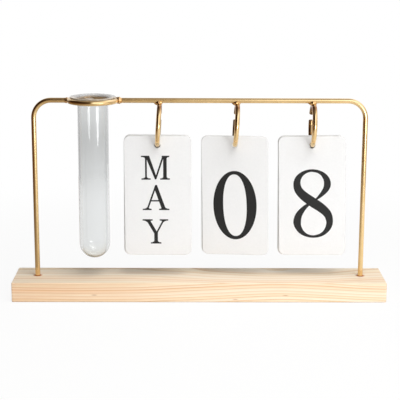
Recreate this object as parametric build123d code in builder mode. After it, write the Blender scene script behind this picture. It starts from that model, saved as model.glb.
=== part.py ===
from build123d import *
from math import cos, radians, sin, sqrt
import os

# Desk calendar: a pine bar carries a bent brass-coloured wire frame. A glass tube vase hangs in a wire
# ring on the left, and three open wire rings carry stacks of date cards that flip forward and up.
# Millimetres, +X along the base with the vase at -X, -Y towards the reader, +Z up,
# origin in the middle of the base's underside.

# Date cards
CARD_WIDTH = 53.6
CARD_HEIGHT = 97.4
CARD_THICKNESS = 0.8
CARD_CORNER = 5.0
CARD_GAP = 0.45  # air between neighbours of a stack
HOLE_DROP = 7.3  # hole centre below the card's top edge
HOLE_PLAY = 1.0  # hole diameter over wire diameter
REST_GAP = 0.2  # hole's top edge to the wire it hangs on
MONTH_CARD_COUNT = 6  # all cards are printed on both sides
TENS_CARD_COUNT = 2
UNITS_CARD_COUNT = 5
CARD_SWAY = {"month": 0.3, "tens": 0.9, "units": 1.2}  # degrees, foot drifts to the right
SWAY_SPREAD = 0.5  # every second card of a stack sways this much less
CARD_TURN = {"month": 1.0, "tens": 8.0, "units": 4.0}  # degrees, right edge turned towards the reader

# Open card rings
HOOK_WIRE_DIA = 3.8
HOOK_OUTER_DIA = 35.4
HOOK_LEAN = {"month": 3.3, "tens": 3.5, "units": 1.6}  # degrees, head leans to the right of the foot
HOOK_GAP_LOW = 7.0  # degrees above the horizontal, at the back
HOOK_GAP_HIGH = 26.0
HOOK_END_ROUND = 0.8
HOOK_SEAT = 0.3  # depth that an upright ring is let into the bar it is welded to

# Frame wire
WIRE_DIA = 4.0
BEND_RADIUS = 14.0  # centreline
SHORT_BAR = 12.2  # straight stretch between the left bend and the vase ring
WELD_RADIUS = 3.0
WELD_DRIFT = 0.7  # weld beads of the card rings sit a little left of them

# Glass tube vase
TUBE_DIA = 24.5
TUBE_WALL = 1.2
LIP_FLARE = 5.85  # lip radius over tube radius
LIP_REST = 1.4  # lip's reach over the vase ring's wire
LIP_GAP = 0.2  # lip to the wire it hangs on

# Spaces along the row and above the base
VASE_TO_CARD = 3.5
CARD_SPACING = 7.9
CARD_TO_LEG = 13.3
CARD_FLOOR_GAP = 17.9
TUBE_FLOOR_GAP = 15.4

# Pine base
BASE_DEPTH = 45.0
BASE_HEIGHT = 16.0
BASE_EDGE = 0.8
LEG_INSET = 18.5  # leg centre from the base's end
SOCKET_FLOOR = 4.0  # wood left under a leg
SOCKET_CLEARANCE = 0.05  # radial
SOCKET_MOUTH = 0.8  # countersunk edge round a socket

# Wire and ring radii
wire_r = WIRE_DIA / 2
tube_r = TUBE_DIA / 2
lip_r = tube_r + LIP_FLARE
vase_ring_r = lip_r - LIP_REST + wire_r
vase_ring_outer_r = vase_ring_r + wire_r
hook_wire_r = HOOK_WIRE_DIA / 2
hook_r = HOOK_OUTER_DIA / 2 - hook_wire_r
hook_inner_r = hook_r - hook_wire_r
hole_r = (HOOK_WIRE_DIA + HOLE_PLAY) / 2

# Places along the row, from the left leg to the right one
card_count = {"month": MONTH_CARD_COUNT, "tens": TENS_CARD_COUNT, "units": UNITS_CARD_COUNT}
stacks = list(card_count)
card_pitch = CARD_WIDTH + CARD_SPACING
leg_to_vase = BEND_RADIUS + SHORT_BAR + vase_ring_outer_r
vase_to_first = vase_ring_outer_r + VASE_TO_CARD + CARD_WIDTH / 2
last_to_leg = CARD_WIDTH / 2 + CARD_TO_LEG + wire_r
leg_spacing = leg_to_vase + vase_to_first + card_pitch * (len(stacks) - 1) + last_to_leg
left_leg_x = -leg_spacing / 2
right_leg_x = leg_spacing / 2
vase_x = left_leg_x + leg_to_vase
hook_x = {stack: vase_x + vase_to_first + card_pitch * i for i, stack in enumerate(stacks)}
base_length = leg_spacing + 2 * LEG_INSET

# Heights
lowest_hole_z = BASE_HEIGHT + CARD_FLOOR_GAP + CARD_HEIGHT - HOLE_DROP
ring_foot_z = lowest_hole_z + hole_r - REST_GAP - hook_wire_r
bar_z = ring_foot_z + 2 * hook_r + hook_wire_r - HOOK_SEAT + wire_r
lip_round = TUBE_WALL / 2
lip_round_x = lip_r - lip_round
lip_reach = wire_r + lip_round + LIP_GAP
lip_round_z = bar_z + sqrt(lip_reach**2 - (vase_ring_r - lip_round_x) ** 2)
tube_bottom_z = BASE_HEIGHT + TUBE_FLOOR_GAP
tube_centre_z = tube_bottom_z + tube_r
flare_r = lip_round_x - tube_r
flare_z = lip_round_z - lip_round - flare_r


def card_depths(count):
    """Depths of a stack's card middles, from the front card to the rear one."""
    step = CARD_THICKNESS + CARD_GAP
    return [step * (i - (count - 1) / 2) for i in range(count)]


def ring_plane(stack):
    """Plane of a leaning card ring about its centre, with x to the back and y from its foot to its head."""
    lean = radians(HOOK_LEAN[stack])
    centre = (hook_x[stack] + hook_r * sin(lean), 0, ring_foot_z + hook_r * cos(lean))
    return Plane(origin=centre, x_dir=(0, 1, 0), z_dir=(cos(lean), 0, -sin(lean)))


def card_plane(stack, depth, sway):
    """Middle plane of a card about its hole centre, where the hole's top edge rests on the ring's wire."""
    far_face = abs(depth) + CARD_THICKNESS / 2
    climb = hook_inner_r - sqrt(hook_inner_r**2 - far_face**2)
    seat = Vector(hook_x[stack], depth, ring_foot_z + hook_wire_r) + ring_plane(stack).y_dir * climb
    hole_centre = seat + Vector(0, 0, REST_GAP - hole_r)
    upright = Plane(origin=hole_centre, x_dir=(1, 0, 0), z_dir=(0, -1, 0))
    return upright.rotated((0, -sway, -CARD_TURN[stack]), Extrinsic.XYZ)


def write(piece, name):
    """Label a finished piece and write its file."""
    piece.label = name
    export_step(piece, f"parts/{name}.step")


os.makedirs("parts", exist_ok=True)

# Base: planed pine bar with eased edges and two blind, countersunk sockets for the legs
with BuildPart() as wooden_base:
    with BuildSketch():
        Rectangle(base_length, BASE_DEPTH)
    extrude(amount=BASE_HEIGHT)
    fillet(wooden_base.edges(), radius=BASE_EDGE)
    with Locations((left_leg_x, 0, BASE_HEIGHT), (right_leg_x, 0, BASE_HEIGHT)):
        socket_r = wire_r + SOCKET_CLEARANCE
        CounterSinkHole(socket_r, socket_r + SOCKET_MOUTH, depth=BASE_HEIGHT - SOCKET_FLOOR)
write(wooden_base.part, "wooden_base")

# Vase ring: closed wire ring, level with the bar, its joint at the back
with BuildPart(Plane.XY.offset(bar_z)) as vase_ring:
    with Locations((vase_x, 0)):
        Torus(vase_ring_r, wire_r, rotation=(0, 0, 90))
write(vase_ring.part, "vase_ring")

# Left wire: leg, bend and short bar, its end coped to the vase ring
with BuildPart() as left_leg_wire:
    with BuildLine(Plane.XZ) as left_path:
        FilletPolyline(
            (left_leg_x, SOCKET_FLOOR), (left_leg_x, bar_z), (vase_x - vase_ring_r, bar_z), radius=BEND_RADIUS
        )
    with BuildSketch(Plane(origin=left_path.line @ 0, z_dir=left_path.line % 0)):
        Circle(wire_r)
    sweep(path=left_path.line)
    add(vase_ring.part, mode=Mode.SUBTRACT)
write(left_leg_wire.part, "left_leg_wire")

# Right wire: long bar from the vase ring, bend and leg
with BuildPart() as right_bow_wire:
    with BuildLine(Plane.XZ) as right_path:
        FilletPolyline(
            (right_leg_x, SOCKET_FLOOR), (right_leg_x, bar_z), (vase_x + vase_ring_r, bar_z), radius=BEND_RADIUS
        )
    with BuildSketch(Plane(origin=right_path.line @ 0, z_dir=right_path.line % 0)):
        Circle(wire_r)
    sweep(path=right_path.line)
    add(vase_ring.part, mode=Mode.SUBTRACT)
write(right_bow_wire.part, "right_bow_wire")

# Card rings: open at the back so that a card slips on, each top saddled to the bar
hooks = {}
for stack in stacks:
    ring = ring_plane(stack)
    gap_edge = radians(HOOK_GAP_HIGH)
    outward = ring.x_dir * cos(gap_edge) + ring.y_dir * sin(gap_edge)
    along = ring.y_dir * cos(gap_edge) - ring.x_dir * sin(gap_edge)
    with BuildPart() as hook:
        with BuildSketch(Plane(origin=ring.origin + outward * hook_r, x_dir=ring.z_dir, z_dir=along)):
            Circle(hook_wire_r)
        revolve(axis=Axis(ring.origin, ring.z_dir), revolution_arc=360 - (HOOK_GAP_HIGH - HOOK_GAP_LOW))
        ends = hook.faces().filter_by(GeomType.PLANE)
        fillet(ends.edges(), radius=HOOK_END_ROUND)
        add(right_bow_wire.part, mode=Mode.SUBTRACT)
    hooks[stack] = hook.part
    write(hook.part, f"{stack}_hook")

# Weld beads: one at each side of the vase ring and one over each card ring
bar_ends = [vase_x - vase_ring_outer_r, vase_x + vase_ring_outer_r]
ring_heads = [ring_plane(stack).origin + ring_plane(stack).y_dir * hook_r for stack in stacks]
hook_welds = [(head.X - WELD_DRIFT, 0, bar_z - wire_r) for head in ring_heads]
with BuildPart() as weld_beads:
    with Locations(*[(x, 0, bar_z) for x in bar_ends], *hook_welds):
        Sphere(WELD_RADIUS)
    add([vase_ring.part, left_leg_wire.part, right_bow_wire.part, *hooks.values()], mode=Mode.SUBTRACT)
write(weld_beads.part, "weld_beads")

# Glass tube: round bottom, straight wall and a flared lip with a fire-polished edge
with BuildPart() as glass_tube:
    with BuildSketch(Plane.XZ.move(Location((vase_x, 0, 0)))):
        with BuildLine():
            inner_r = tube_r - TUBE_WALL
            lip_top = lip_round_z + lip_round
            outer_start = (0, tube_bottom_z)
            RadiusArc(outer_start, (tube_r, tube_centre_z), -tube_r)
            Line((tube_r, tube_centre_z), (tube_r, flare_z))
            RadiusArc((tube_r, flare_z), (lip_round_x, flare_z + flare_r), flare_r)
            RadiusArc((lip_round_x, flare_z + flare_r), (lip_round_x, lip_top), -lip_round)
            RadiusArc((lip_round_x, lip_top), (inner_r, flare_z), -(flare_r + TUBE_WALL))
            Line((inner_r, flare_z), (inner_r, tube_centre_z))
            RadiusArc((inner_r, tube_centre_z), (0, tube_bottom_z + TUBE_WALL), inner_r)
            Line((0, tube_bottom_z + TUBE_WALL), outer_start)
        make_face()
    revolve(axis=Axis((vase_x, 0, 0), (0, 0, 1)))
write(glass_tube.part, "glass_tube")

# Date cards: rounded cards with a punched hole, hung one behind the other on their ring
for stack in stacks:
    for i, depth in enumerate(card_depths(card_count[stack])):
        sway = CARD_SWAY[stack] - SWAY_SPREAD * (i % 2)
        with BuildPart() as card:
            with BuildSketch(card_plane(stack, depth, sway)):
                with Locations((0, HOLE_DROP - CARD_HEIGHT / 2)):
                    RectangleRounded(CARD_WIDTH, CARD_HEIGHT, CARD_CORNER)
                Circle(hole_r, mode=Mode.SUBTRACT)
            extrude(amount=CARD_THICKNESS / 2, both=True)
        write(card.part, f"{stack}_card_{i + 1}")
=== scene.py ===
from math import copysign, cos, pi, radians, sin, tau

import bmesh
import bpy
from mathutils import Matrix, Vector, noise
from mathutils.geometry import delaunay_2d_cdt


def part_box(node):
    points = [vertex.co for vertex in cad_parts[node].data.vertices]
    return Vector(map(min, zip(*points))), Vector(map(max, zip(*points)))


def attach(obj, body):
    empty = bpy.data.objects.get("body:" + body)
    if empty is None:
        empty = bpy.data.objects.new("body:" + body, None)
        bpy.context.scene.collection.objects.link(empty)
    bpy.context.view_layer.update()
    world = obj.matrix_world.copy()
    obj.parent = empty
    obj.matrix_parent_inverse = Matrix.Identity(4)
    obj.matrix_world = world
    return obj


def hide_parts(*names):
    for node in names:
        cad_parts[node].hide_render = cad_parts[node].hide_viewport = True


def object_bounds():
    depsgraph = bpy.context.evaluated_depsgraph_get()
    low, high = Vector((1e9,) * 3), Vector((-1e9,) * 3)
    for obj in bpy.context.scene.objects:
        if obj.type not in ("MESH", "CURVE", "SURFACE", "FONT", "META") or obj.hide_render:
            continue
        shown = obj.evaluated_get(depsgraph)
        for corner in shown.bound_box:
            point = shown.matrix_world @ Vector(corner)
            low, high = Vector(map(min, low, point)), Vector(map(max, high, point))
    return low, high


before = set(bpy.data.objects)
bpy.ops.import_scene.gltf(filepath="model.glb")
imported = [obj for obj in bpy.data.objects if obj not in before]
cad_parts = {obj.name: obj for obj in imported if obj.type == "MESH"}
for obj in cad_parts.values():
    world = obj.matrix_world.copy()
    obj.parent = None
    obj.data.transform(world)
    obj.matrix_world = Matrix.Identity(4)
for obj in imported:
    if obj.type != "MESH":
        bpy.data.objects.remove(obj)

cad_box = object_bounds()

# Desk calendar: a raw pine bar, a bent gold-plated wire frame, a glass tube vase hung in a wire ring,
# and three stacks of printed cards on open wire rings. Metres, +X along the bar, -Y towards the reader.
MM = 0.001

# Cards and their print, in millimetres
CARD_WIDTH = 53.6
CARD_HEIGHT = 97.4
CARD_THICKNESS = 0.8
CARD_CORNER = 5.0
CARD_EDGE_ROLL = 0.39  # die-cut edges are rolled over by this radius
HOLE_DROP = 7.3  # hole centre below the top edge
HOLE_RADIUS = 2.4
HOLE_ROLL = 0.12
ROLL_STEPS = 3
INK_HEIGHT = 0.03
CARD_SWAY = {"month": 0.3, "tens": 0.9, "units": 1.2}  # degrees, foot drifts to the right
SWAY_SPREAD = 0.5  # every second card of a stack hangs this much straighter
CARD_TURN = {"month": 1.0, "tens": 8.0, "units": 4.0}  # degrees, right edge turned towards the reader
CARD_FACES = {  # front and back of each card, from the front card to the rear one
    "month": ["MAY", "JUN", "JUL", "AUG", "SEP", "OCT", "NOV", "DEC", "JAN", "FEB", "MAR", "APR"],
    "tens": ["0", "1", "2", "3"],
    "units": ["8", "9", "0", "1", "2", "3", "4", "5", "6", "7"],
}
LETTER_LINES = [(62.0, 19.4), (37.1, 19.8), (9.3, 20.2)]  # foot and height, from the top letter down
LETTER_SHIFT = -1.7  # the letters stand a little left of the card's middle line
FIGURE_HEIGHT = 56.4
FIGURE_FOOT = {"tens": 12.75, "units": 14.4}
FIGURE_SHIFT = {"tens": -0.05, "units": 1.0}

# Glass tube, in millimetres
TUBE_RADIUS = 12.25
TUBE_WALL = 1.2
TUBE_SIDES = 128
FOOT_STEPS, FLARE_STEPS, LIP_STEPS = 24, 12, 10
WALL_MARGIN = 1.0  # the straight wall starts this far from its curves

# Card rings and weld beads, in millimetres
HOOK_WIRE_RADIUS = 1.9
RING_WELD_SIZES = [(2.4, 2.3, 2.3), (3.1, 2.9, 2.8)]  # left and right of the vase ring
HOOK_WELD_SIZE = (3.6, 2.7, 2.4)
HOOK_WELD_DRIFT = 1.3  # a hook's bead ran to the left before it set
HOOK_WELD_TAPER = 0.55  # and drew out to a tongue there
BEAD_DIVISIONS = 4
LUMP_HEIGHT, LUMP_COUNT = 0.09, 2.3  # heights are shares of the bead's size
RIPPLE_HEIGHT, RIPPLE_COUNT, RIPPLE_WANDER = 0.045, 9, 1.4

# Wood, in millimetres
PITH = (0.0, 38.0, -112.0)
GROWTH_RING = 2.3
GRAIN_SWAY = 5.0
GRAIN_BENDS = [(-60, 64, 5.0), (64, 160, -3.5)]  # from, to, rise of the lines
RESIN_FLECKS = [(-84, -22.5, 6.0), (29, -22.5, 2.5), (69, -22.5, 5.8)]
FLECK_SIZE = (3.0, 4.0, 0.7)


def paint(code):
    """Linear RGBA of an sRGB hex colour."""
    channels = [int(code[i : i + 2], 16) / 255 for i in (1, 3, 5)]
    return [c / 12.92 if c <= 0.04045 else ((c + 0.055) / 1.055) ** 2.4 for c in channels] + [1.0]


def feed(tree, node, feeds):
    """Feed a node's inputs from another node's live output, a socket or a plain value."""
    for socket, value in feeds.items():
        if isinstance(value, bpy.types.Node):
            value = next(output for output in value.outputs if output.enabled)
        if isinstance(value, bpy.types.NodeSocket):
            tree.links.new(value, node.inputs[socket])
        else:
            node.inputs[socket].default_value = value


def add(tree, kind, feeds=None, stops=None, **settings):
    """Add a node with its settings, its ramp stops and what feeds it."""
    made = tree.nodes.new(kind)
    for name, value in settings.items():
        setattr(made, name, value)
    for i, (place, colour) in enumerate(stops or []):
        while len(made.color_ramp.elements) <= i:
            made.color_ramp.elements.new(1.0)
        made.color_ramp.elements[i].position = place
        made.color_ramp.elements[i].color = (*colour[:3], 1.0)
    feed(tree, made, feeds or {})
    return made


def per_mm(x, y, z):
    """Texture scale that gives features of these sizes in millimetres."""
    return (1 / (x * MM), 1 / (y * MM), 1 / (z * MM))


def material(name):
    """A new material with its node tree and its shader."""
    made = bpy.data.materials.new(name)
    made.use_nodes = True
    return made, made.node_tree, made.node_tree.nodes["Principled BSDF"]


def planed_pine(sockets):
    """Raw planed pine: pale wood, thin honey-coloured summer wood lines along the bar and silky fibres."""
    made, tree, shader = material("planed pine")
    place = add(tree, "ShaderNodeTexCoord").outputs
    spot = place["Object"]
    axes = add(tree, "ShaderNodeSeparateXYZ", {0: spot}).outputs
    facing = add(tree, "ShaderNodeSeparateXYZ", {0: place["Normal"]}).outputs

    # Growth rings lie round a pith that runs along the bar, below it and behind it.
    slow_wave = add(tree, "ShaderNodeVectorMath", {0: spot, 1: per_mm(160, 30, 30)}, operation="MULTIPLY")
    wave = add(tree, "ShaderNodeTexNoise", {"Vector": slow_wave, "Scale": 1.0, "Detail": 2.0})
    sway = add(tree, "ShaderNodeMath", {0: wave, 1: GRAIN_SWAY * MM}, operation="MULTIPLY")
    from_pith = add(tree, "ShaderNodeVectorMath", {0: spot, 1: Vector(PITH) * MM}, operation="SUBTRACT")
    across = add(tree, "ShaderNodeVectorMath", {0: from_pith, 1: (0.0, 1.0, 1.0)}, operation="MULTIPLY")
    radius = add(tree, "ShaderNodeVectorMath", {0: across}, operation="LENGTH")
    bent = add(tree, "ShaderNodeMath", {0: radius, 1: sway}, operation="ADD")
    # The trunk bent here: the lines climb to a hump right of the middle and sink again to the right end.
    for start, end, lift in GRAIN_BENDS:
        climb = add(
            tree, "ShaderNodeMapRange",
            {"Value": axes["X"], "From Min": start * MM, "From Max": end * MM, "To Max": lift * MM},
            interpolation_type="SMOOTHSTEP",
        )
        bent = add(tree, "ShaderNodeMath", {0: bent, 1: climb}, operation="SUBTRACT")
    even_years = add(tree, "ShaderNodeMath", {0: bent, 1: GROWTH_RING * MM}, operation="DIVIDE")
    good_years = add(
        tree, "ShaderNodeTexNoise", {"W": even_years, "Scale": 0.4, "Detail": 1.0}, noise_dimensions="1D"
    )
    years = add(tree, "ShaderNodeMath", {0: even_years, 1: good_years}, operation="ADD")
    season = add(tree, "ShaderNodeMath", {0: years}, operation="FRACT")
    year = add(tree, "ShaderNodeMath", {0: years}, operation="FLOOR")
    wood = add(
        tree, "ShaderNodeValToRGB", {"Fac": season},
        stops=[
            (0.0, paint("#FDF2E1")), (0.45, paint("#FCEBD3")), (0.68, paint("#F6DCBA")),
            (0.86, paint("#D5A572")), (0.95, paint("#F5DBB9")),
        ],
    )

    # Each year's wood differs a little: some pinker, some yellower, and some with hardly a line.
    year_tint = add(tree, "ShaderNodeTexWhiteNoise", {"W": year}, noise_dimensions="1D").outputs
    plainness = add(tree, "ShaderNodeMapRange", {"Value": year_tint["Value"], "To Max": 0.65})
    lined = add(tree, "ShaderNodeMix", {0: plainness, 6: wood, 7: paint("#FCEBD3")}, data_type="RGBA")
    tint = add(
        tree, "ShaderNodeValToRGB", {"Fac": year_tint["Color"]},
        stops=[(0.0, paint("#FFF0E2")), (0.5, paint("#FFFFFF")), (1.0, paint("#FBF3E2"))],
    )
    tinted = add(tree, "ShaderNodeMix", {0: 1.0, 6: lined, 7: tint}, data_type="RGBA", blend_type="MULTIPLY")

    # Long blotches of rosier wood, and fibres. Fibres are 0.3 mm wide and drawn 0.9 mm wide so as to show.
    blotch_scale = add(tree, "ShaderNodeVectorMath", {0: spot, 1: per_mm(70, 5, 4)}, operation="MULTIPLY")
    blotch = add(tree, "ShaderNodeTexNoise", {"Vector": blotch_scale, "Scale": 1.0, "Detail": 3.0})
    rosy = add(
        tree, "ShaderNodeMapRange", {"Value": blotch, "From Min": 0.48, "From Max": 0.78, "To Max": 0.5}
    )
    blotched = add(tree, "ShaderNodeMix", {0: rosy, 6: tinted, 7: paint("#F8D6B6")}, data_type="RGBA")
    fibre_scale = add(tree, "ShaderNodeVectorMath", {0: spot, 1: per_mm(26, 0.9, 0.9)}, operation="MULTIPLY")
    fibre = add(
        tree, "ShaderNodeTexNoise", {"Vector": fibre_scale, "Scale": 1.0, "Detail": 4.0, "Roughness": 0.65}
    )
    thread = add(
        tree, "ShaderNodeMapRange", {"Value": fibre, "From Min": 0.35, "From Max": 0.7, "To Max": 0.34}
    )
    threaded = add(tree, "ShaderNodeMix", {0: thread, 6: blotched, 7: paint("#EBCCA8")}, data_type="RGBA")

    # Painted shade: the light falls off towards the bar's left end, so the wood is darkened there, warmer on
    # the sides and grey on top.
    upward = add(tree, "ShaderNodeMapRange", {"Value": facing["Z"], "From Min": 0.3, "From Max": 0.9})
    left_end_shade = add(
        tree, "ShaderNodeMix", {0: upward, 6: paint("#FBF0E6"), 7: paint("#F3F4F5")}, data_type="RGBA"
    )
    left_end_mask = add(
        tree, "ShaderNodeMapRange",
        {"Value": axes["X"], "From Min": -150 * MM, "From Max": 20 * MM, "To Min": 1.0, "To Max": 0.0},
        interpolation_type="SMOOTHSTEP",
    )
    left_shaded = add(
        tree, "ShaderNodeMix", {0: left_end_mask, 6: threaded, 7: left_end_shade}, data_type="RGBA", blend_type="MULTIPLY"
    )
    # Painted light: the top is a little paler than the sides, as it is lit from above.
    top_light_share = add(tree, "ShaderNodeMath", {0: upward, 1: 0.12}, operation="MULTIPLY")
    coloured = add(tree, "ShaderNodeMix", {0: top_light_share, 6: left_shaded, 7: paint("#FFFDEC")}, data_type="RGBA")

    stains_and_glow = []
    # Short flecks of resin show in the front.
    for fleck in RESIN_FLECKS:
        offset = add(tree, "ShaderNodeVectorMath", {0: spot, 1: Vector(fleck) * MM}, operation="SUBTRACT")
        shrunk = add(tree, "ShaderNodeVectorMath", {0: offset, 1: per_mm(*FLECK_SIZE)}, operation="MULTIPLY")
        reach = add(tree, "ShaderNodeVectorMath", {0: shrunk}, operation="LENGTH")
        resin = add(
            tree, "ShaderNodeMapRange",
            {"Value": reach, "From Min": 0.3, "From Max": 1.0, "To Min": 0.55, "To Max": 0.0},
        )
        stains_and_glow.append((resin, "#B98350"))
    # Painted reflection: an orange glow of the gold legs round the rims of the two sockets.
    for socket in sockets:
        gap = add(tree, "ShaderNodeVectorMath", {0: spot, 1: socket}, operation="DISTANCE")
        socket_glow = add(
            tree, "ShaderNodeMapRange",
            {"Value": gap, "From Min": 2.8 * MM, "From Max": 4.2 * MM, "To Min": 0.8, "To Max": 0.0},
        )
        stains_and_glow.append((socket_glow, "#C06A24"))
    # Painted shade: the lower edge is darkened where the bar meets the floor.
    contact_shade = add(
        tree, "ShaderNodeMapRange",
        {"Value": axes["Z"], "From Min": 0.4 * MM, "From Max": 1.1 * MM, "To Min": 0.5, "To Max": 0.0},
    )
    # Sawn ends drink light and look darker.
    endwise = add(tree, "ShaderNodeMath", {0: facing["X"]}, operation="ABSOLUTE")
    sawn = add(
        tree, "ShaderNodeMapRange", {"Value": endwise, "From Min": 0.6, "From Max": 0.95, "To Max": 0.55}
    )
    for mask, mark_colour in [*stains_and_glow, (contact_shade, "#B58E62"), (sawn, "#D2AB7E")]:
        coloured = add(tree, "ShaderNodeMix", {0: mask, 6: coloured, 7: paint(mark_colour)}, data_type="RGBA")

    relief = add(tree, "ShaderNodeMath", {0: season, 1: fibre}, operation="ADD")
    bump = add(tree, "ShaderNodeBump", {"Strength": 0.25, "Distance": 0.12 * MM, "Height": relief})
    dull = add(tree, "ShaderNodeMapRange", {"Value": fibre, "To Min": 0.5, "To Max": 0.68})
    feed(tree, shader, {"Base Color": coloured, "Normal": bump, "Roughness": dull, "IOR": 1.5})
    return made


def plated_wire(places):
    """Drawn steel wire, gold-plated and lacquered: a slightly clouded mirror, browned near the welds."""
    made, tree, shader = material("gold-plated wire")
    spot = add(tree, "ShaderNodeTexCoord").outputs["Object"]
    axes = add(tree, "ShaderNodeSeparateXYZ", {0: spot}).outputs
    cloud = add(tree, "ShaderNodeTexNoise", {"Vector": spot, "Scale": 1 / (7 * MM), "Detail": 3.0})
    gold = add(
        tree, "ShaderNodeValToRGB", {"Fac": cloud}, stops=[(0.3, paint("#EAC88E")), (0.7, paint("#F0D09C"))]
    )

    # Heat tint: the nearest weld's distance browns the plating, most of all on the rings below the bar.
    gaps = [add(tree, "ShaderNodeVectorMath", {0: spot, 1: weld}, operation="DISTANCE") for weld in places]
    nearest = gaps[0]
    for gap in gaps[1:]:
        nearest = add(tree, "ShaderNodeMath", {0: nearest, 1: gap}, operation="MINIMUM")
    near = add(
        tree, "ShaderNodeMapRange",
        {"Value": nearest, "From Min": 8.0 * MM, "From Max": 16.0 * MM, "To Min": 0.9, "To Max": 0.0},
        interpolation_type="SMOOTHSTEP",
    )
    bar_z = max(weld.z for weld in places)
    below = add(
        tree, "ShaderNodeMapRange",
        {
            "Value": axes["Z"], "From Min": bar_z - 4.0 * MM, "From Max": bar_z - 1.5 * MM,
            "To Min": 1.0, "To Max": 0.1,
        },
    )
    heat = add(tree, "ShaderNodeMath", {0: near, 1: below}, operation="MULTIPLY")
    toned = add(tree, "ShaderNodeMix", {0: heat, 6: gold, 7: paint("#7E4314")}, data_type="RGBA")
    # Painted shade: the rear of the rings is darkened to a browner tone.
    rear_shade = add(
        tree, "ShaderNodeMapRange",
        {"Value": axes["Y"], "From Min": 2.2 * MM, "From Max": 6.0 * MM, "To Max": 0.6},
    )
    coated = add(tree, "ShaderNodeMix", {0: rear_shade, 6: toned, 7: paint("#6E4420")}, data_type="RGBA")

    # Lacquer peel, 0.2 mm on the wire and drawn 2.5 mm so as to show.
    peel = add(tree, "ShaderNodeTexNoise", {"Vector": spot, "Scale": 1 / (2.5 * MM), "Detail": 2.0})
    bump = add(tree, "ShaderNodeBump", {"Strength": 0.008, "Distance": 0.05 * MM, "Height": peel})
    gloss = add(tree, "ShaderNodeMapRange", {"Value": cloud, "To Min": 0.13, "To Max": 0.19})
    feed(tree, shader, {"Base Color": coated, "Metallic": 1.0, "Normal": bump, "Roughness": gloss})
    return made


def brazed_bead():
    """Braze metal that set in ripples under the plating: bright crests, browned hollows."""
    made, tree, shader = material("brazed bead")
    spot = add(tree, "ShaderNodeTexCoord").outputs["Object"]
    lump = add(tree, "ShaderNodeTexNoise", {"Vector": spot, "Scale": 1 / (1.3 * MM), "Detail": 3.0})
    metal = add(
        tree, "ShaderNodeValToRGB", {"Fac": lump}, stops=[(0.35, paint("#C58C50")), (0.6, paint("#EAC48C"))]
    )
    bump = add(tree, "ShaderNodeBump", {"Strength": 0.5, "Distance": 0.25 * MM, "Height": lump})
    gloss = add(tree, "ShaderNodeMapRange", {"Value": lump, "To Min": 0.1, "To Max": 0.34})
    feed(tree, shader, {"Base Color": metal, "Metallic": 1.0, "Normal": bump, "Roughness": gloss})
    return made


def blown_glass(foot_z, lip_z):
    """Lamp-worked borosilicate: clear with a cool grey cast, duller where lip and foot gather it thicker."""
    made, tree, shader = material("borosilicate glass")
    spot = add(tree, "ShaderNodeTexCoord").outputs["Object"]
    axes = add(tree, "ShaderNodeSeparateXYZ", {0: spot}).outputs
    share = add(tree, "ShaderNodeMapRange", {"Value": axes["Z"], "From Min": foot_z, "From Max": lip_z})
    cast = add(
        tree, "ShaderNodeValToRGB", {"Fac": share},
        stops=[(0.0, paint("#F2F2EE")), (0.08, paint("#F8F9F9")), (0.96, paint("#F6F7F7"))],
    )
    # Painted reflection of the gold ring: the lip is warmer at the front, and its rear keeps the glass's
    # grey tint.
    rear = add(tree, "ShaderNodeMapRange", {"Value": axes["Y"], "From Min": -12 * MM, "From Max": 12 * MM})
    lip_tint_and_ring_reflection = add(
        tree, "ShaderNodeValToRGB", {"Fac": rear}, stops=[(0.3, paint("#EAD9C0")), (0.7, paint("#E2E1E0"))]
    )
    in_lip = add(tree, "ShaderNodeMapRange", {"Value": share, "From Min": 0.96, "From Max": 1.0})
    tinted = add(tree, "ShaderNodeMix", {0: in_lip, 6: cast, 7: lip_tint_and_ring_reflection}, data_type="RGBA")
    # The fire-polished lip is a little milky.
    clear = add(
        tree, "ShaderNodeMapRange",
        {
            "Value": axes["Z"], "From Min": lip_z - 2.4 * MM, "From Max": lip_z - 0.4 * MM,
            "To Min": 1.0, "To Max": 0.45,
        },
    )
    # Drawn tube: the wall wavers slowly round the tube and very slowly along it.
    draw_scale = add(tree, "ShaderNodeVectorMath", {0: spot, 1: per_mm(9, 9, 60)}, operation="MULTIPLY")
    draw = add(tree, "ShaderNodeTexNoise", {"Vector": draw_scale, "Scale": 1.0, "Detail": 1.0})
    bump = add(tree, "ShaderNodeBump", {"Strength": 0.12, "Distance": 0.4 * MM, "Height": draw})
    feed(tree, shader, {"Base Color": tinted, "Transmission Weight": clear, "Normal": bump})
    feed(tree, shader, {"IOR": 1.47, "Roughness": 0.0})
    smoke = add(tree, "ShaderNodeVolumeAbsorption", {"Color": paint("#BBBFC1"), "Density": 30.0})
    feed(tree, tree.nodes["Material Output"], {"Volume": smoke})
    return made


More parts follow.
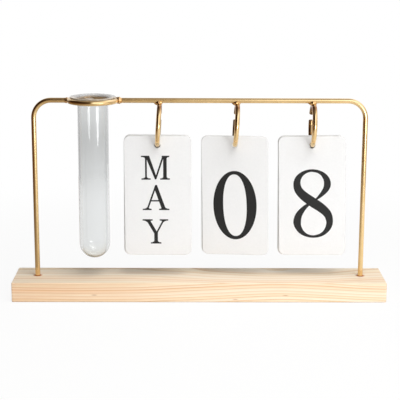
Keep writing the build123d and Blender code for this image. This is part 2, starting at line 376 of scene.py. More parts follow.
def coated_card():
    """Coated white card: almost even white with a faint fibre cloud, and painted shade on its rolled edges.
    """
    made, tree, shader = material("coated card")
    place = add(tree, "ShaderNodeTexCoord").outputs
    fibre = add(
        tree, "ShaderNodeTexNoise",
        {"Vector": place["Object"], "Scale": 1 / (1.6 * MM), "Detail": 4.0, "Roughness": 0.6},
    )
    white = add(
        tree, "ShaderNodeValToRGB", {"Fac": fibre}, stops=[(0.3, paint("#F1F1F1")), (0.7, paint("#F4F4F4"))]
    )
    # Painted shade: faces that turn away from the front and back are greyed.
    facing = add(tree, "ShaderNodeSeparateXYZ", {0: place["Normal"]}).outputs
    flatness = add(tree, "ShaderNodeMath", {0: facing["Y"]}, operation="ABSOLUTE")
    cut = add(
        tree, "ShaderNodeMapRange",
        {"Value": flatness, "From Min": 0.6, "From Max": 0.99, "To Min": 0.9, "To Max": 0.0},
    )
    edge_shaded = add(tree, "ShaderNodeMix", {0: cut, 6: white, 7: paint("#CDCCC8")}, data_type="RGBA")
    bump = add(tree, "ShaderNodeBump", {"Strength": 0.08, "Distance": 0.05 * MM, "Height": fibre})
    dull = add(tree, "ShaderNodeMapRange", {"Value": fibre, "To Min": 0.46, "To Max": 0.58})
    feed(tree, shader, {"Base Color": edge_shaded, "Normal": bump, "Roughness": dull})
    return made


def offset_ink():
    """Black offset ink on card: a soft black that is a little uneven where the card drank it."""
    made, tree, shader = material("offset ink")
    spot = add(tree, "ShaderNodeTexCoord").outputs["Object"]
    mottle = add(tree, "ShaderNodeTexNoise", {"Vector": spot, "Scale": 1 / (1.8 * MM), "Detail": 4.0})
    black = add(
        tree, "ShaderNodeValToRGB", {"Fac": mottle}, stops=[(0.3, paint("#0F0E0E")), (0.7, paint("#191818"))]
    )
    dull = add(tree, "ShaderNodeMapRange", {"Value": mottle, "To Min": 0.5, "To Max": 0.62})
    feed(tree, shader, {"Base Color": black, "Roughness": dull})
    return made


def as_mesh(shape, name, smooth=False):
    """The finished shape as a mesh, shaded smooth all over if asked."""
    if smooth:
        for face in shape.faces:
            face.smooth = True
    made = bpy.data.meshes.new(name)
    shape.to_mesh(made)
    shape.free()
    return made


def piece(name, mesh_data, finish, body, stands_for=()):
    """Put a finished mesh into the scene as a piece that rides on a body."""
    made = bpy.data.objects.new(name, mesh_data)
    bpy.context.scene.collection.objects.link(made)
    mesh_data.materials.append(finish)
    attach(made, body)
    if stands_for:
        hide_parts(*stands_for)


# Type for the cards, drawn on a grid where letters and figures are centred on x = 0
CAPITAL = 100.0  # height of capitals and figures
STEM = 14.6
HAIR = 5.8
THIN_STEM = 7.2
SERIF_HALF = 20.0
SERIF_SLAB = 5.4
SERIF_BRACKET = 13.0
BEAK_SPUR = 1.5  # a beak's tip stands out by this
BEAK_WAIST = (0.12, 0.45)  # shares of its reach and drop where a beak thins
CURVE_STEPS = 8
OVAL_POINTS = 72


def curve_through(marks):
    """Points of a smooth curve through the marks, which may hold a width as their third number."""
    ends = [marks[0], *marks, marks[-1]]
    line = []
    for a, b, c, d in zip(ends, ends[1:], ends[2:], ends[3:]):
        for step in range(CURVE_STEPS):
            t = step / CURVE_STEPS
            line.append([
                (2 * q + (r - p) * t
                 + (2 * p - 5 * q + 4 * r - s) * t**2 + (3 * q - p - 3 * r + s) * t**3) / 2
                for p, q, r, s in zip(a, b, c, d)
            ])
    return line + [list(marks[-1])]


def pen(*marks):
    """Outline of a pen stroke through (x, y, width) marks."""
    line = curve_through(marks)
    left, right = [], []
    for i, (x, y, width) in enumerate(line):
        behind, ahead = line[max(i - 1, 0)], line[min(i + 1, len(line) - 1)]
        across = Vector((behind[1] - ahead[1], ahead[0] - behind[0])).normalized() * width / 2
        left.append((x + across.x, y + across.y))
        right.append((x - across.x, y - across.y))
    return right + left[::-1]


def oval(x, y, half_width, half_height, lean=0.0, fullness=2.0):
    """Closed oval, squarer with more fullness; lean moves its head left and its foot right."""
    outline = []
    for i in range(OVAL_POINTS):
        c, s = cos(tau * i / OVAL_POINTS), sin(tau * i / OVAL_POINTS)
        c, s = (copysign(abs(v) ** (2 / fullness), v) for v in (c, s))
        outline.append((x + half_width * c - lean * s, y + half_height * s))
    return outline


def slant(foot_x, head_x, width, low=0.0, high=CAPITAL):
    """Straight stroke of that level width, upright where foot and head agree."""
    half = width / 2
    return [(foot_x - half, low), (foot_x + half, low), (head_x + half, high), (head_x - half, high)]


def arm(left, right, y, width=HAIR):
    """Level stroke."""
    return [(left, y - width / 2), (right, y - width / 2), (right, y + width / 2), (left, y + width / 2)]


def serif(x, rise, left=SERIF_HALF, right=SERIF_HALF, width=STEM, lean=0.0, y=None):
    """Bracketed serif, at the foot where rise is 1 and at the head where it is -1."""
    y = (0.0 if rise > 0 else CAPITAL) if y is None else y
    outline = [(x - left, y), (x + right, y), (x + right, y + rise * SERIF_SLAB)]
    for side, reach in ((1, right), (-1, left)):
        tip, neck = x + side * reach, x + side * width / 2
        bracket = []
        for i in range(CURVE_STEPS + 1):
            t = i / CURVE_STEPS
            along = (1 - t) ** 2 * tip + (1 - (1 - t) ** 2) * neck + t**2 * lean * SERIF_BRACKET
            bracket.append((along, y + rise * (SERIF_SLAB + t**2 * (SERIF_BRACKET - SERIF_SLAB))))
        outline += bracket if side > 0 else bracket[::-1]
    return outline


def beak(x, y, drop, reach):
    """Pointed end of an arm: hangs or stands by drop from (x, y) and tapers back over reach."""
    waist_x, waist_y = BEAK_WAIST
    return [
        (x, y), (x + copysign(BEAK_SPUR, reach), y + drop),
        (x - reach * waist_x, y + drop * waist_y), (x - reach, y),
    ]


def upper_bowl(right, low):
    """Closed bowl of B, P and R, from the head down to low."""
    return pen(
        (-20, 97.8, 4.2), (right - 26, 97.6, 4.6), (right - 10, 92, 8.0), (right - 1, (98 + low) / 2, 13.0),
        (right - 10, low + 5, 8.0), (right - 26, low, 4.6), (-20, low, 4.2)
    )


def round_letter(*tail):
    """Stroke of C and G from their beak round to the tail marks."""
    return pen(
        (32, 80, 4.6), (24, 91, 6.0), (4, 98, 4.6), (-19, 90, 8.5), (-34, 66, 13.0), (-36, 46, 14.2),
        (-29, 22, 12.0), (-12, 6, 7.4), (6, 2, 4.8), *tail
    )


def half_turn(outline):
    """The outline turned upside down."""
    return [(-x, CAPITAL - y) for x, y in outline]


ROUND_BEAK = [(32, 68), (35, 68), (34, 98), (31, 98), (27, 86)]  # beak of C and G
SIX = [
    pen((24, 98, 3.0), (6, 90, 5.0), (-12, 74, 9.0), (-22, 52, 12.0), (-24, 32, 12.5)),
    oval(1, 32, 28, 33.5, lean=1),
]
SIX_COUNTER = oval(2.5, 32, 15, 29, lean=3, fullness=2.2)

# Ink strokes of each letter and figure
GLYPHS = {
    "A": [
        slant(-35, 0.5, THIN_STEM, 0, 100),
        [(25.75, 0), (42.25, 0), (5.4, 104), (-1.9, 104), (-6.4, 91.5)],
        arm(-22, 22, 38.5),
        serif(-35, 1, 18, 18, THIN_STEM, 0.36),
        serif(34, 1, 21, 21, 15.5, -0.36),
    ],
    "B": [
        slant(-22, -22, STEM),
        upper_bowl(20, 52.5),
        pen(
            (-20, 52.5, 4.2), (2, 52.8, 4.8), (18, 48, 8.0), (27, 28, 13.5), (18, 7, 8.0),
            (2, 2.3, 4.8), (-20, 2.2, 4.2)
        ),
        serif(-22, 1, 18, 8),
        serif(-22, -1, 18, 8),
    ],
    "C": [
        round_letter((24, 8, 5.0), (33, 20, 4.0)),
        ROUND_BEAK,
    ],
    "D": [
        slant(-32, -32, STEM),
        pen(
            (-30, 97.8, 4.2), (-10, 97.6, 4.8), (14, 91, 8.5), (32, 68, 13.4), (34, 48, 14.2),
            (28, 24, 12.6), (10, 7, 7.8), (-10, 2.3, 4.8), (-30, 2.2, 4.2)
        ),
        serif(-32, 1, 18, 8),
        serif(-32, -1, 18, 8),
    ],
    "E": [
        slant(-20, -20, STEM),
        arm(-20, 27, 97.6, 4.8),
        arm(-20, 17, 52, 4.6),
        arm(-20, 30, 2.4, 4.8),
        beak(27, 97.6, -20, 14),
        beak(30, 2.4, 22, 16),
        [(14, 40), (17, 40), (17, 64), (14, 64), (10, 54), (10, 50)],
        serif(-20, 1, 18, 8),
        serif(-20, -1, 18, 8),
    ],
    "F": [
        slant(-17, -17, STEM),
        arm(-17, 29, 97.6, 4.8),
        arm(-17, 18, 51, 4.6),
        beak(29, 97.6, -21, 15),
        [(15, 39), (18, 39), (18, 63), (15, 63), (11, 53), (11, 49)],
        serif(-17, 1),
        serif(-17, -1, 18, 8),
    ],
    "G": [
        round_letter((22, 6, 6.0), (32, 12, 7.0)),
        ROUND_BEAK,
        slant(31, 31, STEM, 6, 42),
        serif(31, -1, 18, 15, y=44),
    ],
    "J": [
        slant(4, 4, STEM, 14, 100),
        pen((4, 24, STEM), (3.5, 8, 11.0), (-3, -5, 6.5), (-13, -9, 4.0), (-22, -5, 4.0)),
        oval(-20.5, -3, 5.6, 5.6),
        serif(4, -1),
    ],
    "L": [
        slant(-20, -20, STEM),
        arm(-20, 29, 2.4, 4.8),
        beak(29, 2.4, 24, 17),
        serif(-20, 1, 18, 8),
        serif(-20, -1),
    ],
    "M": [
        slant(-39, -39, THIN_STEM),
        slant(39, 39, STEM),
        [(-2.2, 1), (1.2, 1), (4.5, 11), (-25.5, 100), (-42, 100), (-6, 10)],
        slant(0, 32.5, THIN_STEM, 2, 100),
        serif(-39, -1, 20, 13, THIN_STEM),
        serif(39, -1, 13, 18),
        serif(-39, 1, 19, 19, THIN_STEM),
        serif(39, 1, 20, 20),
    ],
    "N": [
        slant(-37, -37, THIN_STEM),
        slant(37, 37, THIN_STEM),
        slant(35, -33, 16.0, 0, 100),
        serif(-37, -1, 20, 12, THIN_STEM),
        serif(37, -1, 19, 19, THIN_STEM),
        serif(-37, 1, 19, 19, THIN_STEM),
    ],
    "O": [
        oval(0, 50, 43, 51.5, lean=1.5),
    ],
    "P": [
        slant(-18, -18, STEM),
        upper_bowl(26, 44),
        serif(-18, 1),
        serif(-18, -1, 18, 8),
    ],
    "R": [
        slant(-24, -24, STEM),
        upper_bowl(19, 49),
        slant(33, -2, 15.0, 2, 50),
        serif(-24, 1),
        serif(-24, -1, 18, 8),
        serif(36, 1, 12, 12, 15.0, -0.7),
    ],
    "S": [
        pen(
            (23, 82, 4.0), (15, 93, 5.4), (0, 98, 4.6), (-15, 92, 7.6), (-20, 79, 10.6),
            (-12, 65, 12.6), (4, 53, 13.4), (18, 39, 12.6), (21, 22, 10.4), (13, 7, 7.0), (-2, 2, 4.6),
            (-18, 7, 5.4), (-26, 20, 4.0)
        ),
        [(22, 70), (25, 70), (24, 98), (21, 98), (18, 88)],
        [(-28, 31), (-25, 31), (-22, 14), (-24, 2), (-27, 2)],
    ],
    "T": [
        slant(0, 0, STEM),
        arm(-36, 36, 97.6, 4.8),
        beak(36, 97.6, -22, 16),
        beak(-36, 97.6, -22, -16),
        serif(0, 1),
    ],
    "U": [
        slant(-29, -29, STEM, 30, 100),
        slant(29, 29, THIN_STEM, 30, 100),
        pen(
            (-29, 34, STEM), (-28, 19, 12.0), (-18, 5, 8.4), (2, 1, 6.2), (20, 7, 6.2), (28, 22, 6.4),
            (29, 34, THIN_STEM)
        ),
        serif(-29, -1),
        serif(29, -1, 19, 19, THIN_STEM),
    ],
    "V": [
        slant(0, -34, 15.5, -3, 100),
        slant(1, 33, THIN_STEM, 0, 100),
        serif(-34, -1, 20, 20, 15.5, 0.34),
        serif(33, -1, 17, 17, THIN_STEM, -0.34),
    ],
    "Y": [
        slant(0, 0, STEM, 0, 46),
        slant(0, -33, 15.0, 42, 100),
        slant(2.5, 32, THIN_STEM, 43, 100),
        serif(0, 1, 21, 21),
        serif(-33, -1, 20, 20, 15.0, 0.5),
        serif(32, -1, 17, 17, THIN_STEM, -0.5),
    ],
    "0": [
        oval(0, 50, 31.0, 50, lean=0.5),
    ],
    "1": [
        slant(2, 2, 12.5, 0, 99),
        pen((-16, 83, 3.6), (-8, 87, 5.0), (2, 96, 7.0), (5, 99, 6.0)),
        serif(2, 1, 20, 20, 12.5),
    ],
    "2": [
        pen(
            (-22, 74, 6.5), (-17, 88, 6.0), (-3, 97.5, 5.0), (13, 92, 9.0), (18, 76, 12.0),
            (12, 58, 10.5), (-4, 36, 6.8), (-19, 14, 4.6), (-26, 3, 4.0)
        ),
        oval(-19.5, 76, 5.6, 5.6),
        [(-28, 0), (24, 0), (29, 21), (26, 21), (20, 10.5), (-21, 10.5)],
    ],
    "3": [
        pen(
            (-20, 84, 4.6), (-8, 96, 5.0), (4, 97, 5.4), (14, 88, 9.0), (15, 75, 11.0), (6, 60, 6.6),
            (-7, 53, 3.6)
        ),
        pen(
            (-7, 53, 3.6), (6, 54, 5.4), (18, 45, 10.0), (22, 28, 12.4), (14, 9, 8.6), (-2, 2, 5.0),
            (-15, 4, 5.0), (-23, 11, 5.4)
        ),
        oval(-20.5, 11, 5.4, 5.4),
    ],
    "4": [
        slant(12, 12, 12.5, 0, 100),
        slant(-27, 10, 6.0, 26, 98),
        arm(-30, 29, 27.5, 8.0),
    ],
    "5": [
        pen((-13, 97, 4.0), (-16, 76, 4.0), (-19, 54, 4.0)),
        [(-14, 91), (16, 91), (23, 102), (20, 102), (14, 99), (-14, 99)],
        pen(
            (-19, 55, 3.6), (-6, 61, 5.2), (10, 57, 8.6), (21, 42, 12.0), (20, 23, 12.0), (9, 7, 7.6),
            (-6, 2, 5.0), (-17, 5, 5.0), (-24, 12, 5.4)
        ),
        oval(-21.5, 12, 5.4, 5.4),
    ],
    "6": SIX,
    "7": [
        [(-26, 78), (-23, 78), (-17, 89), (28, 89), (28, 99), (-22, 99)],
        pen((25, 94, 6.0), (11, 66, 8.0), (-1, 36, 10.5), (-7, 0, 13.0)),
    ],
    "8": [
        pen(
            (18.3, 86.3, 8.4), (13.6, 92.5, 6.2), (6.6, 96.6, 4.4), (-1.6, 98.1, 3.8),
            (-9.8, 96.6, 4.4), (-16.8, 92.5, 6.2), (-21.5, 86.3, 8.6), (-23.1, 79, 10.1),
            (-21, 70.2, 11.4), (-13.6, 61.6, 12.8), (-1.2, 52.4, 13.8), (11.6, 43.6, 13.0),
            (20.4, 34.6, 11.4), (23.4, 24, 9.6), (21.6, 15.4, 8.2), (16.6, 8.1, 6.0), (9.1, 3.4, 4.4),
            (0.3, 1.8, 3.6), (-8.5, 3.4, 4.4), (-16, 8.1, 6.6), (-21, 15.2, 9.0)
        ),
        pen(
            (9.1, 3.4, 4.4), (0.3, 1.8, 3.6), (-8.5, 3.4, 4.4), (-16, 8.1, 6.6), (-21, 15.2, 9.0),
            (-22.8, 23.5, 10.9), (-20.6, 33, 9.6), (-14.6, 41.8, 7.0), (-8, 48, 4.6), (-1, 53, 2.6),
            (4.4, 56.6, 2.8), (9, 60.6, 4.6), (14.3, 66.2, 6.8), (18.6, 72.6, 8.8), (19.9, 79, 9.8),
            (18.3, 86.3, 8.4), (13.6, 92.5, 6.2), (6.6, 96.6, 4.4), (-1.6, 98.1, 3.8)
        ),
    ],
    "9": [half_turn(outline) for outline in SIX],
}

# Bare card inside a letter or figure, laid over its ink
COUNTERS = {
    "O": oval(0, 50, 29.5, 47.2, lean=5.5, fullness=2.1),
    "0": oval(0, 50, 16.8, 45.0, lean=1.0, fullness=2.22),
    "6": SIX_COUNTER,
    "9": half_turn(SIX_COUNTER),
}
POINT_MERGE = 1e-4  # outline points nearer than this are one, mm
INSIDE_FACES = 1  # the triangulation keeps what lies inside the outlines


def counter_clockwise(outline):
    """The outline, turned round if it runs clockwise."""
    area = sum(ax * by - bx * ay for (ax, ay), (bx, by) in zip(outline, outline[1:] + outline[:1]))
    return outline if area > 0 else outline[::-1]


def line_of_type(words, stack):
    """Strokes of a card face in millimetres from its middle, with True for ink and False for bare card."""
    if len(words) == 1:
        lines = [(words, FIGURE_SHIFT[stack], FIGURE_FOOT[stack], FIGURE_HEIGHT)]
    else:
        lines = [(letter, LETTER_SHIFT, foot, height) for letter, (foot, height) in zip(words, LETTER_LINES)]
    strokes = []
    for glyph, shift, foot, height in lines:
        unit = height / CAPITAL
        laid = [(True, outline) for outline in GLYPHS[glyph]]
        if glyph in COUNTERS:
            laid.append((False, COUNTERS[glyph]))
        for ink, outline in laid:
            placed = [(x * unit + shift, y * unit + foot - CARD_HEIGHT / 2) for x, y in outline]
            strokes.append((ink, counter_clockwise(placed)))
    return strokes


def ink_film(name, strokes):
    """Closed film of ink on the XZ plane, towards -Y. The last stroke over a spot says if it is ink."""
    points, outlines = [], []
    for _, outline in strokes:
        outlines.append(list(range(len(points), len(points) + len(outline))))
        points += [Vector(p) for p in outline]
    flat, _, triangles, _, _, laid = delaunay_2d_cdt(points, [], outlines, INSIDE_FACES, POINT_MERGE)
    kept = [t for t, over in zip(triangles, laid) if over and strokes[max(over)][0]]
    edges = {(a, b) for t in kept for a, b in zip(t, t[1:] + t[:1])}

    shape = bmesh.new()
    used = sorted({corner for t in kept for corner in t})
    low = {i: shape.verts.new((flat[i].x * MM, 0.0, flat[i].y * MM)) for i in used}
    high = {i: shape.verts.new((flat[i].x * MM, -INK_HEIGHT * MM, flat[i].y * MM)) for i in used}
    for t in kept:
        shape.faces.new([high[i] for i in t])
        shape.faces.new([low[i] for i in reversed(t)])
    for a, b in edges:
        if (b, a) not in edges:
            shape.faces.new([low[a], low[b], high[b], high[a]])
    return as_mesh(shape, name)


def card_loop(shape, inset, depth):
    """Loop of corners round a card, drawn in from its edge by inset, at that depth."""
    half_x, half_z, corner = CARD_WIDTH / 2 - CARD_CORNER, CARD_HEIGHT / 2 - CARD_CORNER, CARD_CORNER - inset
    corners = []
    for quarter, (side_x, side_z) in enumerate(((1, 1), (-1, 1), (-1, -1), (1, -1))):
        for i in range(CURVE_STEPS + 1):
            turn = (quarter + i / CURVE_STEPS) * pi / 2
            x = side_x * half_x + corner * cos(turn)
            z = side_z * half_z + corner * sin(turn)
            corners.append(shape.verts.new((x * MM, depth * MM, z * MM)))
    return corners


def hole_loop(shape, widen, depth):
    """Loop round the punched hole, widened at that depth."""
    sides = CURVE_STEPS * 4
    corners = []
    for i in range(sides):
        turn = tau * i / sides
        x = (HOLE_RADIUS + widen) * cos(turn)
        z = (HOLE_RADIUS + widen) * sin(turn) + CARD_HEIGHT / 2 - HOLE_DROP
        corners.append(shape.verts.new((x * MM, depth * MM, z * MM)))
    return corners


def rolled_edge(roll):
    """(inset, depth) steps over an edge rolled by that radius, from the front face to the back."""
    steps = []
    for i in range(ROLL_STEPS + 1):
        turn = i / ROLL_STEPS * pi / 2
        steps.append((roll * (1 - sin(turn)), roll * (1 - cos(turn)) - CARD_THICKNESS / 2))
    return steps + [(inset, -depth) for inset, depth in reversed(steps)]


def card_mesh(name):
    """Die-cut card with rolled edges and a punched hole, standing on the XZ plane round its middle."""
    shape = bmesh.new()
    for make_loop, roll in ((card_loop, CARD_EDGE_ROLL), (hole_loop, HOLE_ROLL)):
        loops = [make_loop(shape, inset, depth) for inset, depth in rolled_edge(roll)]
        for near, far in zip(loops, loops[1:]):
            for i in range(len(near)):
                shape.faces.new([near[i - 1], near[i], far[i], far[i - 1]]).smooth = True
    nearly = 1e-7
    for depth in (-CARD_THICKNESS / 2 * MM, CARD_THICKNESS / 2 * MM):
        open_edges = [edge for edge in shape.edges if edge.is_boundary]
        rim = [edge for edge in open_edges if all(abs(v.co.y - depth) < nearly for v in edge.verts)]
        bmesh.ops.triangle_fill(shape, use_beauty=True, edges=rim)
    bmesh.ops.recalc_face_normals(shape, faces=shape.faces)
    return as_mesh(shape, name)


def hang_cards(card_finish, ink_finish):
    """Every card of the three stacks, with its print on both faces."""
    for stack, faces in CARD_FACES.items():
        for i in range(len(faces) // 2):
            card = f"{stack}_card_{i + 1}"
            low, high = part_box(card)
            sway = Matrix.Rotation(-radians(CARD_SWAY[stack] - SWAY_SPREAD * (i % 2)), 4, "Y")
            turn = Matrix.Rotation(-radians(CARD_TURN[stack]), 4, "Z")
            hang = Matrix.Translation((low + high) / 2) @ turn @ sway
            card_shape = card_mesh(f"{card}_stock")
            card_shape.transform(hang)
            piece(f"{card}_stock", card_shape, card_finish, card, [card])
            for side, words in zip(("front", "back"), faces[2 * i : 2 * i + 2]):
                about = Matrix.Rotation(0.0 if side == "front" else pi, 4, "Z")
                face = Matrix.Translation((0.0, -CARD_THICKNESS / 2 * MM, 0.0))
                film = ink_film(f"{card}_{side}_print", line_of_type(words, stack))
                film.transform(hang @ about @ face)
                piece(f"{card}_{side}_print", film, ink_finish, card)


def tube_outline(lip_radius, foot_z, lip_z):
    """(radius, z) round the tube's wall in millimetres, from the foot up the outside and down the inside."""
    lip_round = TUBE_WALL / 2
    lip_x = lip_radius - lip_round
    flare = lip_x - TUBE_RADIUS
    flare_z = lip_z - 2 * lip_round - flare
    foot_centre = foot_z + TUBE_RADIUS
    inner = TUBE_RADIUS - TUBE_WALL
    wall_low, wall_high = foot_centre + WALL_MARGIN, flare_z - WALL_MARGIN

    def arc(x, z, radius, start, end, steps):
        turns = [radians(start + (end - start) * i / steps) for i in range(steps + 1)]
        return [(x + radius * cos(t), z + radius * sin(t)) for t in turns]

    return (
        arc(0, foot_centre, TUBE_RADIUS, -90, 0, FOOT_STEPS)
        + [(TUBE_RADIUS, wall_low), (TUBE_RADIUS, wall_high)]
        + arc(lip_x, flare_z, flare, 180, 90, FLARE_STEPS)
        + arc(lip_x, lip_z - lip_round, lip_round, -90, 90, LIP_STEPS)[1:]
        + arc(lip_x, flare_z, flare + TUBE_WALL, 90, 180, FLARE_STEPS)[1:]
        + [(inner, wall_high), (inner, wall_low)]
        + arc(0, foot_centre, inner, 0, -90, FOOT_STEPS)
    )


def turned_tube(finish):
    """Glass tube: round foot, straight wall and flared, fire-polished lip."""
    low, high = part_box("glass_tube")
    axis = (low + high) / 2
    outline = tube_outline((high.x - low.x) / 2 / MM, low.z / MM, high.z / MM)
    shape = bmesh.new()
    foot = shape.verts.new((axis.x, axis.y, outline[0][1] * MM))
    floor = shape.verts.new((axis.x, axis.y, outline[-1][1] * MM))
    rings = []
    for radius, z in outline[1:-1]:
        ring = []
        for i in range(TUBE_SIDES):
            turn = tau * i / TUBE_SIDES
            x, y = axis.x + radius * MM * cos(turn), axis.y + radius * MM * sin(turn)
            ring.append(shape.verts.new((x, y, z * MM)))
        rings.append(ring)
    for near, far in zip(rings, rings[1:]):
        for i in range(TUBE_SIDES):
            shape.faces.new([near[i - 1], near[i], far[i], far[i - 1]])
    for i in range(TUBE_SIDES):
        shape.faces.new([foot, rings[0][i], rings[0][i - 1]])
        shape.faces.new([floor, rings[-1][i - 1], rings[-1][i]])
    wall = as_mesh(shape, "glass_tube_wall", smooth=True)
    piece("glass_tube_wall", wall, finish, "glass_tube", ["glass_tube"])


def bead_mesh(shape, place, size, taper=0.0):
    """Lumpy, rippled weld bead round a place, drawn out to a tongue on its left by the taper."""
    own_lumps, own_ripples = place * 900, place * 500  # no two beads set alike
    for corner in bmesh.ops.create_icosphere(shape, subdivisions=BEAD_DIVISIONS, radius=1.0)["verts"]:
        direction = corner.co.normalized()
        lumps = noise.noise(direction * LUMP_COUNT + own_lumps)
        wander = 2 * noise.noise(direction * RIPPLE_WANDER + own_ripples)
        ripple = sin(direction.x * RIPPLE_COUNT + wander)
        swell = 1 + LUMP_HEIGHT * lumps + RIPPLE_HEIGHT * ripple
        slim = 1 + taper * min(direction.x, 0.0)
        spread = (size[0], size[1] * slim, size[2] * slim)
        corner.co = place + Vector([d * s * MM * swell for d, s in zip(direction, spread)])


def socket_places():
    """Middles of the two socket mouths, where the legs enter the bar."""
    left_low, left_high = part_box("left_leg_wire")
    right_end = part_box("right_bow_wire")[1].x
    wire_radius = (left_high.y - left_low.y) / 2
    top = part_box("wooden_base")[1].z
    return [Vector((left_low.x + wire_radius, 0.0, top)), Vector((right_end - wire_radius, 0.0, top))]


def weld_places():
    """Middles of the weld beads: both sides of the vase ring, then the head of each card ring."""
    ring_low, ring_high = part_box("vase_ring")
    bar_z = (ring_low.z + ring_high.z) / 2
    places = [Vector((ring_low.x, 0.0, bar_z)), Vector((ring_high.x, 0.0, bar_z))]
    for stack in CARD_FACES:
        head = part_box(f"{stack}_hook")[1]
        places.append(Vector((head.x - HOOK_WIRE_RADIUS * MM, 0.0, head.z)))
    return places


def weld_beads(places, finish):
    """The five beads as one piece."""
    shape = bmesh.new()
    for place, size in zip(places, RING_WELD_SIZES):
        bead_mesh(shape, place, size)
    drift = Vector((HOOK_WELD_DRIFT * MM, 0.0, 0.0))
    for place in places[len(RING_WELD_SIZES) :]:
        bead_mesh(shape, place - drift, HOOK_WELD_SIZE, HOOK_WELD_TAPER)
    ripples = as_mesh(shape, "weld_ripples", smooth=True)
    piece("weld_ripples", ripples, finish, "frame", ["weld_beads"])


# Studio, in metres: round pale table, white backdrop, dim room on the left, four soft lamps
FLOOR_RADIUS = 0.52
FLOOR_SIDES = 96
FLOOR_DROP = 0.0002
FLOOR_FADE = (0.2, 0.48)  # the floor's shadow fades out between these distances
MIRRORED_SPAN = 0.35  # the table's tones in the metal run this far to each side
TABLE_POOL = (0.26, 0.56)  # through the glass the table dims between these distances from the pool of light
TABLE_POOL_LEVELS = (0.955, 0.72)
TABLE_POOL_PLACE = (-0.09, 0.05, 0.0)
CAMERA_PLACE = (-0.0076, -0.9418, 0.2916)
CAMERA_YAW = 0.49  # degrees to the right
CAMERA_PITCH = 12.72  # degrees down
CAMERA_ROLL = 0.23
LENS = 108.0
SENSOR = 36.0
LAMPS = {  # place, aim, width, height, watts
    "key_softbox": ((0.62, -0.62, 1.08), (0.0, 0.0, 0.08), 1.5, 1.5, 11.2),
    "low_panel": ((0.48, -0.7, 0.09), (-0.085, 0.0, 0.09), 0.42, 0.25, 1.5),
    "front_scrim": ((0.44, -1.0, 0.36), (0.0, 0.0, 0.12), 0.8, 0.95, 0.75),
    "upper_scrim": ((0.16, -0.38, 0.95), (0.0, 0.0, 0.1), 0.8, 0.6, 3.6),
}
WHITE = (1.0, 1.0, 1.0, 1.0)


def lay_floor():
    """Pale paper floor, white to the eye far from the object, that keeps the object's shadow near it."""
    made, tree, shader = material("pale paper floor")
    feed(tree, shader, {"Base Color": paint("#F4F3F1"), "Roughness": 0.9, "Specular IOR Level": 0.0})
    spot = add(tree, "ShaderNodeTexCoord").outputs["Object"]
    rays = add(tree, "ShaderNodeLightPath").outputs
    far = add(tree, "ShaderNodeVectorMath", {0: spot}, operation="LENGTH")
    fade = add(
        tree, "ShaderNodeMapRange",
        {"Value": far, "From Min": FLOOR_FADE[0], "From Max": FLOOR_FADE[1], "To Min": 0.9, "To Max": 1.0},
        interpolation_type="SMOOTHSTEP",
    )
    seen = rays["Is Camera Ray"]
    for ray in ("Is Glossy Ray", "Is Transmission Ray"):
        seen = add(tree, "ShaderNodeMath", {0: seen, 1: rays[ray]}, operation="MAXIMUM")
    lifted = add(tree, "ShaderNodeMath", {0: seen, 1: fade}, operation="MULTIPLY")
    from_pool = add(tree, "ShaderNodeVectorMath", {0: spot, 1: TABLE_POOL_PLACE}, operation="DISTANCE")
    pool = add(
        tree, "ShaderNodeMapRange",
        {
            "Value": from_pool, "From Min": TABLE_POOL[0], "From Max": TABLE_POOL[1],
            "To Min": TABLE_POOL_LEVELS[0], "To Max": TABLE_POOL_LEVELS[1],
        },
        interpolation_type="SMOOTHSTEP",
    )
    level = add(tree, "ShaderNodeMix", {0: rays["Is Transmission Ray"], 2: 1.0, 3: pool})
    # In the metal the table brightens from the dim side of the room to the window's side.
    along = add(tree, "ShaderNodeSeparateXYZ", {0: spot}).outputs["X"]
    share = add(
        tree, "ShaderNodeMapRange", {"Value": along, "From Min": -MIRRORED_SPAN, "From Max": MIRRORED_SPAN}
    )
    mirrored = add(
        tree, "ShaderNodeValToRGB", {"Fac": share},
        stops=[
            (0.05, (0.22, 0.165, 0.11)), (0.3, (0.44, 0.385, 0.32)), (0.5, (0.74, 0.72, 0.69)),
            (0.68, (1.03, 1.02, 1.01)), (0.9, (1.15, 1.15, 1.15)),
        ],
    )
    in_metal = add(
        tree, "ShaderNodeMath", {0: rays["Is Glossy Ray"], 1: rays["Is Transmission Ray"]},
        operation="SUBTRACT", use_clamp=True,
    )
    tone = add(tree, "ShaderNodeMix", {0: in_metal, 6: WHITE, 7: mirrored}, data_type="RGBA")
    white = add(tree, "ShaderNodeEmission", {"Color": tone, "Strength": level})
    both = add(tree, "ShaderNodeMixShader", {0: lifted, 1: shader, 2: white})
    feed(tree, tree.nodes["Material Output"], {"Surface": both})
    sheet = bpy.data.meshes.new("floor")
    turns = [tau * i / FLOOR_SIDES for i in range(FLOOR_SIDES)]
    rim = [(FLOOR_RADIUS * cos(t), FLOOR_RADIUS * sin(t), 0.0) for t in turns]
    sheet.from_pydata(rim, [], [range(FLOOR_SIDES)])
    sheet.materials.append(made)
    floor = bpy.data.objects.new("floor", sheet)
    floor.location.z = cad_box[0].z - FLOOR_DROP
    bpy.context.scene.collection.objects.link(floor)


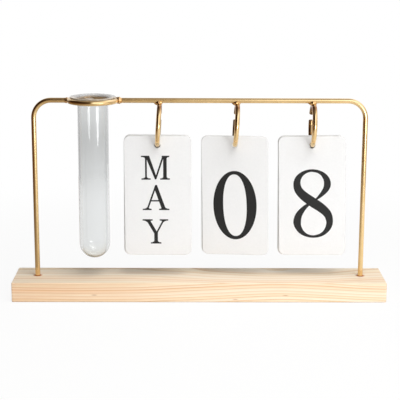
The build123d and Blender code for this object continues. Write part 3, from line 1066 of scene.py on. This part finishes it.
def light_world():
    """White backdrop to the eye, dimmer through the glass; metal mirrors the room and its window."""
    world = bpy.data.worlds.new("studio")
    bpy.context.scene.world = world
    world.use_nodes = True
    tree = world.node_tree
    tree.nodes.clear()
    direction = add(tree, "ShaderNodeTexCoord").outputs["Generated"]
    axes = add(tree, "ShaderNodeSeparateXYZ", {0: direction}).outputs
    ceiling = add(
        tree, "ShaderNodeValToRGB", {"Fac": axes["Z"]},
        stops=[(0.0, (0.1, 0.1, 0.1)), (1.0, (0.32, 0.32, 0.32))],
    )
    # Metal mirrors a dim room on the left, a bright window on the upper right and a dark ceiling.
    across = add(tree, "ShaderNodeMapRange", {"Value": axes["X"], "From Min": -1.0, "From Max": 1.0})
    walls = add(
        tree, "ShaderNodeValToRGB", {"Fac": across},
        stops=[
            (0.05, (0.12, 0.055, 0.018)), (0.25, (0.14, 0.075, 0.032)), (0.43, (0.38, 0.31, 0.22)),
            (0.57, (0.74, 0.72, 0.68)), (0.7, (1.1, 1.1, 1.1)), (0.9, (0.95, 0.92, 0.9)),
            (1.0, (0.6, 0.55, 0.5)),
        ],
    )
    window = add(
        tree, "ShaderNodeValToRGB", {"Fac": across},
        stops=[
            (0.44, (0.035, 0.015, 0.005)), (0.47, (0.34, 0.265, 0.18)), (0.5, (0.78, 0.76, 0.71)),
            (0.54, (1.5, 1.55, 1.65)), (0.57, (1.8, 1.95, 2.2)), (0.9, (1.3, 1.3, 1.4)),
            (1.0, (0.5, 0.5, 0.5)),
        ],
    )
    room = walls
    for axis, low, high, sight in (
        ("Z", 0.02, 0.22, window),
        ("Z", 0.8, 0.95, (0.28, 0.25, 0.22, 1.0)),
        ("Y", 0.5, 0.85, (0.9, 0.9, 0.9, 1.0)),
    ):
        share = add(tree, "ShaderNodeMapRange", {"Value": axes[axis], "From Min": low, "From Max": high})
        room = add(tree, "ShaderNodeMix", {0: share, 6: room, 7: sight}, data_type="RGBA")
    # Through the glass the backdrop's foot is dimmest a little above the table's edge.
    rise = add(tree, "ShaderNodeMapRange", {"Value": axes["Z"], "From Min": -0.2, "From Max": -0.14})
    levels = [
        (0.1, 0.785), (0.27, 0.74), (0.43, 0.7), (0.56, 0.695), (0.64, 0.725), (0.77, 0.795), (0.94, 0.84)
    ]
    backdrop = add(
        tree, "ShaderNodeValToRGB", {"Fac": rise},
        stops=[(at, (level, level, level)) for at, level in levels],
    )
    behind = add(
        tree, "ShaderNodeMapRange",
        {"Value": axes["Y"], "From Min": 0.72, "From Max": 0.95, "To Min": 0.5, "To Max": backdrop},
        interpolation_type="SMOOTHSTEP",
    )
    above = add(tree, "ShaderNodeMapRange", {"Value": axes["Z"], "From Max": 0.4, "To Max": 0.75})
    beyond = add(tree, "ShaderNodeMath", {0: behind, 1: above}, operation="MAXIMUM")
    rays = add(tree, "ShaderNodeLightPath").outputs
    shown = ceiling
    for ray, sight in (("Is Glossy Ray", room), ("Is Transmission Ray", beyond), ("Is Camera Ray", WHITE)):
        shown = add(tree, "ShaderNodeMix", {0: rays[ray], 6: shown, 7: sight}, data_type="RGBA")
    sky = add(tree, "ShaderNodeBackground", {"Color": shown, "Strength": 1.0})
    add(tree, "ShaderNodeOutputWorld", {"Surface": sky})


def set_lamps():
    """Soft lamps, each an oval panel aimed at the object; metal mirrors only the low panel."""
    for name, (place, aim, width, height, watts) in LAMPS.items():
        data = bpy.data.lights.new(name, "AREA")
        data.shape = "ELLIPSE"
        data.size, data.size_y = width, height
        data.energy = watts
        lamp = bpy.data.objects.new(name, data)
        lamp.location = place
        lamp.visible_camera = False
        lamp.visible_glossy = name == "low_panel"
        lamp.rotation_euler = (Vector(aim) - Vector(place)).to_track_quat("-Z", "Y").to_euler()
        bpy.context.scene.collection.objects.link(lamp)


def set_camera():
    """Camera where the photograph was taken from."""
    data = bpy.data.cameras.new("camera")
    data.lens, data.sensor_width = LENS, SENSOR
    camera = bpy.data.objects.new("camera", data)
    camera.matrix_world = (
        Matrix.Translation(CAMERA_PLACE)
        @ Matrix.Rotation(-radians(CAMERA_YAW), 4, "Z")
        @ Matrix.Rotation(radians(90 - CAMERA_PITCH), 4, "X")
        @ Matrix.Rotation(radians(CAMERA_ROLL), 4, "Z")
    )
    bpy.context.scene.collection.objects.link(camera)
    bpy.context.scene.camera = camera


def refinish(node, finish):
    """Give a shown CAD node its finish."""
    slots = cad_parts[node].data.materials
    slots.clear()
    slots.append(finish)


welds = weld_places()
refinish("wooden_base", planed_pine(socket_places()))
wire_finish = plated_wire(welds)
for wire in ("left_leg_wire", "right_bow_wire", "vase_ring", "month_hook", "tens_hook", "units_hook"):
    refinish(wire, wire_finish)
weld_beads(welds, brazed_bead())
tube_low, tube_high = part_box("glass_tube")
turned_tube(blown_glass(tube_low.z, tube_high.z))
hang_cards(coated_card(), offset_ink())

lay_floor()
light_world()
set_lamps()
set_camera()
bpy.context.scene.view_settings.view_transform = "Standard"
